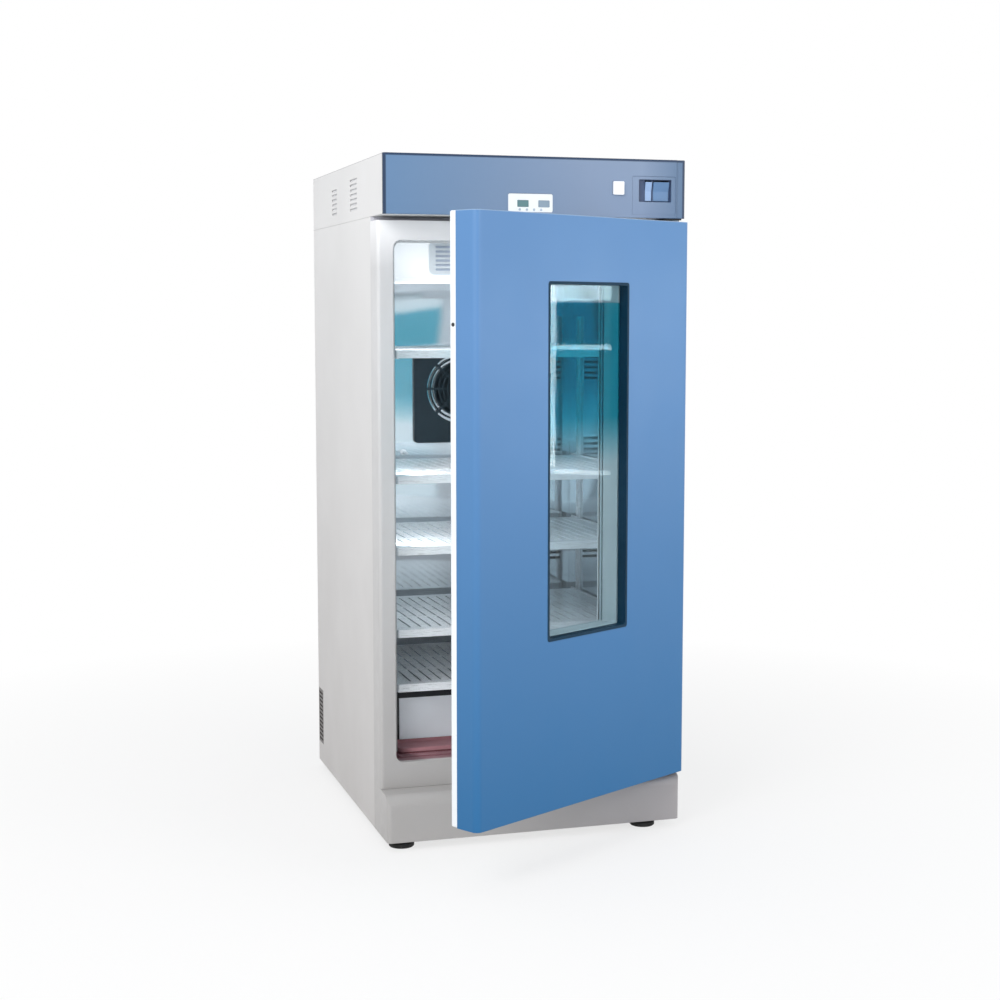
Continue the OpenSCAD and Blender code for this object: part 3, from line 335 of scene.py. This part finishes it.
# Steel and paint in the chamber
liner_steel = brushed("liner_steel", STEEL, rough=0.045, metal=0.8, wave=0.7)
floor_steel = brushed("floor_steel", STEEL, rough=0.2, metal=0.8, wave=0.4)
floor_steel.recolor((0.20, 0.09, 0.105),
                    floor_steel.along("Z", FLOOR_LEVEL + 0.0005, FLOOR_LEVEL - 0.0005))
shelf_steel = brushed("shelf_steel", (0.92, 0.95, 0.98), rough=0.28, metal=0.35,
                      brush=(1, 40, 40))
step_paint = painted("step_paint", (0.84, 0.90, 0.94), rough=0.4)
# A dark band at the step cover's top: painted shade in the gap above it
step_paint.recolor((0.010, 0.012, 0.016), step_paint.along(
    "Z", STEP_TOP - STEP_SHADE_BAND - 0.0005, STEP_TOP - STEP_SHADE_BAND))
tray_brown = moulded("tray_brown", (0.35, 0.17, 0.19), rough=0.6, vary=0.08)
tray_brown.set("Specular IOR Level", 0.2)
guard_plastic = moulded("guard_plastic", (0.020, 0.033, 0.042), rough=0.5, vary=0.12)
guard_plastic.set("Specular IOR Level", 0.25)
white_mould = moulded("white_moulding", (0.86, 0.89, 0.91), rough=0.32, coat=0.1)
outlet_grey = moulded("outlet_grey", (0.88, 0.93, 1.0), rough=0.5, vary=0.05)
outlet_back = moulded("outlet_back", (0.62, 0.68, 0.80), rough=0.8, vary=0.08)

# Glowing: the lamp tube as a lamp, the housing as painted light
housing_glow = moulded("housing_painted_glow", (0.90, 0.93, 0.95), rough=0.32, coat=0.1)
lamp_white = moulded("lamp_opal", (0.92, 0.94, 0.96), rough=0.3, vary=0.02)
for lit, strength in ((housing_glow, 0.42), (lamp_white, 2.0)):
    lit.set("Emission Color", (*CHAMBER_WHITE, 1))
    lit.set("Emission Strength", strength)

# Controls
navy = moulded("navy_plastic", (0.020, 0.050, 0.130), rough=0.35, vary=0.1, coat=0.1)
rocker_blue = moulded("rocker_blue", (0.105, 0.215, 0.400), rough=0.35, vary=0.06, coat=0.15)
rocker_pale = moulded("rocker_pale", (0.30, 0.44, 0.68), rough=0.35, vary=0.05, coat=0.15)
button_white = moulded("button_white", (0.90, 0.92, 0.94), rough=0.3, vary=0.02, coat=0.2)
key_grey = moulded("key_grey", (0.42, 0.50, 0.60), rough=0.5, vary=0.05)
strip_grey = moulded("strip_grey", (0.62, 0.62, 0.68), rough=0.45, vary=0.05)
lens = moulded("readout_lens", (0.10, 0.22, 0.24), rough=0.18, vary=0.08, coat=0.4)
lens.recolor((0.24, 0.33, 0.42), lens.along("X", -0.022, -0.014))

# Window: lining painted dark near the door's face, as painted shade in the recess, and glass
# that is green above
reveal = moulded("window_lining", (0.003, 0.030, 0.062), rough=0.5, vary=0.1)
reveal.set("Specular IOR Level", 0.2)
reveal.recolor((0.55, 0.66, 0.70), reveal.across(
    INWARD, DOOR_FRONT, LINING_SHADE_DEPTH + 0.001, LINING_SHADE_DEPTH + 0.003))
pane = Shader("pane_glass", (0.84, 0.91, 0.94), rough=0.02, ior=1.15, transmission=1.0)
pane.rough(pane.noise(3.0, detail=3), 0.01, 0.04)
pane.recolor((0.17, 0.60, 0.70), pane.inside(
    pane.along("Z", *GLASS_TINT),
    pane.along("Z", GLASS_TOP_BAND + 0.0015, GLASS_TOP_BAND - 0.0015)))
pane.bump(pane.noise(2.5, detail=1), strength=0.06, distance=0.004)

# Seals, feet, machinery and filters, with black strips and a dark filter that stand for shade
seal = rubber("seal_rubber", (0.72, 0.76, 0.78), rough=0.6)
gap_shade_black = rubber("step_gap_shade_rubber", (0.008, 0.010, 0.012), rough=0.6)
foot_rubber = rubber("foot_rubber", (0.012, 0.012, 0.012), rough=0.75)
aluminium = polished("mill_aluminium", (0.78, 0.79, 0.80), rough=0.35, wave=0.1)
copper = polished("copper_pipe", (0.80, 0.40, 0.24), rough=0.25, wave=0.1)
dark_metal = polished("dark_metal", (0.13, 0.14, 0.15), rough=0.4, wave=0.1)
black_paint = painted("black_paint", (0.016, 0.016, 0.018), rough=0.4, vary=0.15)
black_plastic = moulded("black_plastic", (0.018, 0.018, 0.020), rough=0.5, vary=0.15)
grey_plastic = moulded("grey_plastic", (0.26, 0.32, 0.37), rough=0.5, vary=0.06)
foam = moulded("foam", (0.80, 0.68, 0.38), rough=0.9, grain=150.0, bump=0.5, vary=0.1)
board = moulded("circuit_board", (0.01, 0.11, 0.05), rough=0.35, vary=0.1)
filter_grey = moulded("filter_grey", (0.78, 0.78, 0.79), rough=0.9, grain=1400.0, bump=0.4,
                      vary=0.06)
# A dark filter sheet for the side vents, standing in for the shade inside them: painted shade
filter_painted_shade = moulded("filter_painted_shade", (0.085, 0.075, 0.070), rough=0.9, grain=1400.0, bump=0.4)

USED = {
    casing: ["rear_panel", "machine_grille", "header_casing", "base_pan"],
    side_paint: ["left_side_panel", "right_side_panel"],
    header_paint: ["header_fascia"],
    door_paint: ["door_shell"],
    frame_mould: ["front_frame", "base_cover"],
    white_mould: ["door_inner_panel", "display_panel"],
    housing_glow: ["top_housing"],
    liner_steel: ["liner_wrap", "liner_ceiling", "duct_panel"],
    floor_steel: ["liner_floor"],
    shelf_steel: ["shelf_1", "shelf_2", "shelf_3", "shelf_4", "shelf_5", "shelf_uprights",
                  "shelf_ledges", "temperature_probe", "casing_screws"],
    step_paint: ["step_cover"],
    aluminium: ["evaporator"],
    black_paint: ["hinge_brackets", "compressor"],
    strip_grey: ["header_strip"],
    black_plastic: ["cable_gland", "door_contact"],
    guard_plastic: ["fan_guard", "circulation_wheel", "condenser_fan"],
    outlet_grey: ["air_outlet_grille"],
    grey_plastic: ["hinge_bushes"],
    seal: ["door_gasket"],
    foot_rubber: ["front_left_foot", "front_right_foot", "rear_left_foot", "rear_right_foot"],
    navy: ["switch_plate"],
    reveal: ["window_frame"],
    rocker_blue: ["mains_rocker"],
    rocker_pale: ["lamp_rocker"],
    button_white: ["start_button"],
    lens: ["display_windows"],
    pane: ["window_panes"],
    lamp_white: ["lamp_tube"],
    tray_brown: ["condensate_tray"],
    copper: ["refrigerant_pipes"],
    foam: ["insulation", "door_insulation"],
    board: ["control_board"],
    dark_metal: ["fan_motor", "heater_element", "condenser", "condenser_motor"],
}

for shader, names in USED.items():
    for name in names:
        NODES[name].data.materials.clear()
        NODES[name].data.materials.append(shader.mat)

# ---------------------------------------------------------------- small pieces


def piece(name, bm, shader, body):
    """Turns a bmesh into a named piece that rides a body."""
    mesh = bpy.data.meshes.new(name)
    bmesh.ops.recalc_face_normals(bm, faces=bm.faces)
    bm.to_mesh(mesh)
    bm.free()
    mesh.materials.append(shader.mat)
    obj = bpy.data.objects.new(name, mesh)
    bpy.context.scene.collection.objects.link(obj)
    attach(obj, body)


def block(bm, low, high, bevel=0.0008):
    """A box with rounded edges, added to the mesh."""
    part = bmesh.new()
    bmesh.ops.create_cube(part, size=1.0)
    for v in part.verts:
        v.co = Vector([(v.co[i] + 0.5) * (high[i] - low[i]) + low[i] for i in range(3)])
    bmesh.ops.bevel(part, geom=part.edges[:], offset=bevel, segments=2, affect="EDGES")
    mesh = bpy.data.meshes.new("part")
    part.to_mesh(mesh)
    part.free()
    bm.from_mesh(mesh)
    bpy.data.meshes.remove(mesh)


def pleats(bm, x, low, high, pitch=0.004, depth=0.0012, thick=0.0005):
    """A pleated filter sheet in the plane of x, with a closed outline."""
    y0, z0 = low
    y1, z1 = high
    count = max(2, round((y1 - y0) / pitch))
    front, back = [], []
    for i in range(count + 1):
        y = y0 + (y1 - y0) * i / count
        dx = depth * (i % 2)
        front.append([bm.verts.new((x + dx, y, z)) for z in (z0, z1)])
        back.append([bm.verts.new((x + dx + thick, y, z)) for z in (z0, z1)])
    for i in range(count):
        a, b, c, d = front[i], front[i + 1], back[i], back[i + 1]
        bm.faces.new((a[0], b[0], b[1], a[1]))
        bm.faces.new((c[0], c[1], d[1], d[0]))
        bm.faces.new((a[0], c[0], d[0], b[0]))
        bm.faces.new((a[1], b[1], d[1], c[1]))
    for a, c in ((front[0], back[0]), (front[-1], back[-1])):
        bm.faces.new((a[0], a[1], c[1], c[0]))


# The cabinet's body in millimetres, from its lower left front corner, for the filters
BODY_WIDE, BODY_DEEP = 690, 794
FOOT_HIGH = 20                        # the body's underside above the floor
HEADER_LOW = 1372                     # the header's lower edge
LOUVRES = ((264, 76, 71), (490, 58, 60))    # behind the front, width, height
LOUVRE_UP = 23                        # above the header's lower edge
VENT_LOW, VENT_SLOTS, VENT_PITCH = 58, 12, 11
VENT_BACK, VENT_FRONT = 14, 66        # in front of the body's back
FILTER_IN = 2.0                       # from the body's side to the filter
FILTER_THICK = 1.7                    # the depth and thickness of the pleats
OVERLAP, WIDE_OVERLAP = 4, 5          # how far a filter reaches past its slots


def cab(x, y, z):
    """A point in the frame from one in the body's millimetres."""
    return Vector(((x - BODY_WIDE / 2) / 1000, (y - BODY_DEEP / 2) / 1000,
                   (z + FOOT_HIGH) / 1000))


# Filters behind the louvres of the header and of both sides; the sides' ones are dark, as
# painted shade inside the vents
for name, x in (("left", FILTER_IN), ("right", BODY_WIDE - FILTER_IN - FILTER_THICK)):
    bm = bmesh.new()
    for y, wide, tall in LOUVRES:
        low = cab(x, y - WIDE_OVERLAP, HEADER_LOW + LOUVRE_UP - OVERLAP)
        high = cab(x, y + wide + WIDE_OVERLAP, HEADER_LOW + LOUVRE_UP + tall + WIDE_OVERLAP)
        pleats(bm, low.x, low.yz, high.yz)
    piece("header_filter_" + name, bm, filter_grey, "cabinet")
    bm = bmesh.new()
    low = cab(x, BODY_DEEP - VENT_FRONT, VENT_LOW - OVERLAP)
    high = cab(x, BODY_DEEP - VENT_BACK, VENT_LOW + VENT_SLOTS * VENT_PITCH + OVERLAP)
    pleats(bm, low.x, low.yz, high.yz)
    piece("side_filter_" + name, bm, filter_painted_shade, "cabinet")

# Air filter close behind the outlet's slots
SIDE_INSET, END_INSET = 0.012, 0.008
OUTLET_GAP, OUTLET_THICK = 0.0004, 0.002
low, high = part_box("air_outlet_grille")
bm = bmesh.new()
block(bm, (low[0] + SIDE_INSET, high[1] + OUTLET_GAP, low[2] + END_INSET),
      (high[0] - SIDE_INSET, high[1] + OUTLET_GAP + OUTLET_THICK, high[2] - END_INSET))
piece("outlet_filter", bm, outlet_back, "cabinet")

# Black rubber strips in the gaps beside the step cover, standing in for the shade in these gaps:
# painted shade
SHADE_STRIP_GAP, SHADE_STRIP_WIDE = 0.0005, 0.034
low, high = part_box("step_cover")
bm = bmesh.new()
for x in (low[0] - SHADE_STRIP_GAP - SHADE_STRIP_WIDE, high[0] + SHADE_STRIP_GAP):
    block(bm, (x, low[1] + 0.001, low[2] + 0.004),
          (x + SHADE_STRIP_WIDE, low[1] + 0.009, high[2] - 0.002))
piece("step_gap_shade", bm, gap_shade_black, "cabinet")

# Soft keys under the read-outs, spaced by shares of the panel's width
KEYS, FIRST_KEY, KEY_PITCH, KEY_UP = 4, 0.26, 0.16, 0.0055
low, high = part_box("display_panel")
bm = bmesh.new()
for i in range(KEYS):
    x = low[0] + (high[0] - low[0]) * (FIRST_KEY + KEY_PITCH * i)
    key = bmesh.ops.create_cone(bm, cap_ends=True, segments=24, radius1=0.0030,
                                radius2=0.0024, depth=0.0008)
    turn = (Matrix.Translation((x, low[1] - 0.0001, low[2] + KEY_UP))
            @ Matrix.Rotation(math.pi / 2, 4, "X"))
    bmesh.ops.transform(bm, matrix=turn, verts=key["verts"])
piece("soft_keys", bm, key_grey, "cabinet")

# ---------------------------------------------------------------- stage


def seen_directly(tree):
    """1 for the rays of the camera, of mirrors and of glass."""
    path = add_node(tree, "ShaderNodeLightPath")
    total = path.outputs["Is Camera Ray"]
    for name in ("Is Glossy Ray", "Is Transmission Ray"):
        either = add_node(tree, "ShaderNodeMath", operation="MAXIMUM")
        tree.links.new(total, either.inputs[0])
        tree.links.new(path.outputs[name], either.inputs[1])
        total = either.outputs[0]
    return total


def floor_material():
    """White where it is seen, but for the shadow near the object."""
    mat = bpy.data.materials.new("stage_floor")
    mat.use_nodes = True
    tree = mat.node_tree
    tree.nodes.clear()
    coords = add_node(tree, "ShaderNodeTexCoord")
    distance = add_node(tree, "ShaderNodeVectorMath", operation="LENGTH")
    fade = add_node(tree, "ShaderNodeMapRange", {
        "From Min": 0.6, "From Max": 2.2, "To Min": 0.72, "To Max": 1.0})
    share = add_node(tree, "ShaderNodeMath", operation="MULTIPLY")
    diffuse = add_node(tree, "ShaderNodeBsdfDiffuse", {"Color": (0.8, 0.8, 0.8, 1)})
    white = add_node(tree, "ShaderNodeEmission", {"Color": (1, 1, 1, 1)})
    mix = add_node(tree, "ShaderNodeMixShader")
    out = add_node(tree, "ShaderNodeOutputMaterial")
    for source, target in (
            (coords.outputs["Object"], distance.inputs[0]),
            (distance.outputs["Value"], fade.inputs["Value"]),
            (fade.outputs["Result"], share.inputs[0]),
            (seen_directly(tree), share.inputs[1]),
            (share.outputs[0], mix.inputs["Fac"]),
            (diffuse.outputs[0], mix.inputs[1]),
            (white.outputs[0], mix.inputs[2]),
            (mix.outputs[0], out.inputs["Surface"])):
        tree.links.new(source, target)
    return mat


bpy.ops.mesh.primitive_plane_add(size=40, location=(0, 0, 0))
floor = bpy.context.object
floor.name = "floor"
floor.data.materials.append(floor_material())
floor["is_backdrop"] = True

world = bpy.data.worlds.new("studio")
bpy.context.scene.world = world
world.use_nodes = True
sky = world.node_tree
sky.nodes.clear()
lit = add_node(sky, "ShaderNodeBackground", {"Color": (0.78, 0.80, 0.83, 1), "Strength": 0.62})
seen = add_node(sky, "ShaderNodeBackground", {"Color": (1, 1, 1, 1), "Strength": 1.0})
either = add_node(sky, "ShaderNodeMixShader")
out = add_node(sky, "ShaderNodeOutputWorld")
sky.links.new(seen_directly(sky), either.inputs["Fac"])
sky.links.new(lit.outputs[0], either.inputs[1])
sky.links.new(seen.outputs[0], either.inputs[2])
sky.links.new(either.outputs[0], out.inputs["Surface"])

# ---------------------------------------------------------------- lamps


def area(name, location, target, wide, power, color=(1, 1, 1), tall=None):
    """A rectangular lamp that looks at the target, and is square if no height is given."""
    light = bpy.data.lights.new(name, "AREA")
    light.energy = power
    light.color = color
    light.shape = "RECTANGLE"
    light.size = wide
    light.size_y = tall or wide
    lamp = bpy.data.objects.new(name, light)
    bpy.context.scene.collection.objects.link(lamp)
    lamp.location = location
    aim = Vector(target) - Vector(location)
    lamp.rotation_euler = aim.to_track_quat("-Z", "Y").to_euler()
    return lamp


area("key", (-3.2, -3.0, 3.6), (0, -0.2, 0.9), 2.4, 128)
area("fill", (3.0, -3.6, 2.0), (0, -0.3, 0.8), 2.4, 60)
area("top", (0.0, 0.2, 4.2), (0, 0, 1.0), 3.0, 32)
area("front", (-1.9, -3.9, 1.9), (-0.2, 0.0, 1.1), 0.9, 17)

# Strip lamps to the right, which the window's glass mirrors: place, size, power, colour
STRIP_X = 2.3
for name, y, z, wide, tall, power, color in (
        ("strip_side", -1.072, 0.980, 0.028, 0.640, 2.2, (0.85, 0.95, 1.0)),
        ("strip_top", -0.925, 1.256, 0.250, 0.057, 1.2, (0.66, 0.92, 1.0)),
        ("strip_upper", -0.905, 1.068, 0.350, 0.016, 0.5, (0.85, 0.95, 1.0)),
        ("strip_lower", -0.915, 0.640, 0.290, 0.016, 0.25, (0.92, 0.97, 1.0))):
    area(name, (STRIP_X, y, z), (0.0, y, z), wide, power, color, tall)

# The chamber's own light, over its height and in front of the step
for name, place, target, power, tall in (
        ("chamber", (-0.255, -0.235, 0.92), (0.02, 0.12, 0.92), 2.4, 0.60),
        ("chamber_step", (-0.250, -0.300, 0.245), (0.05, -0.16, 0.235), 0.052, 0.08)):
    lamp = area(name, place, target, 0.06, power, (0.96, 0.98, 1.0), tall)
    lamp.visible_camera = False
    lamp.visible_glossy = False

# ---------------------------------------------------------------- camera

# Fitted to the cabinet's edges in the photograph: place, angles in degrees and lens
# in millimetres
CAMERA_PLACE = (-1.193, -4.057, 1.177)
LOOKING_DOWN, TURNED_RIGHT = 6.02, 16.81
LENS, SENSOR = 62.98, 36.0

camera = bpy.data.cameras.new("camera")
camera.sensor_width = SENSOR
camera.lens = LENS
camera.clip_end = 100
eye = bpy.data.objects.new("camera", camera)
bpy.context.scene.collection.objects.link(eye)
eye.location = CAMERA_PLACE
eye.rotation_euler = (math.radians(90 - LOOKING_DOWN), 0, math.radians(-TURNED_RIGHT))
bpy.context.scene.camera = eye

bpy.context.scene.view_settings.view_transform = "Standard"

low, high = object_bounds()
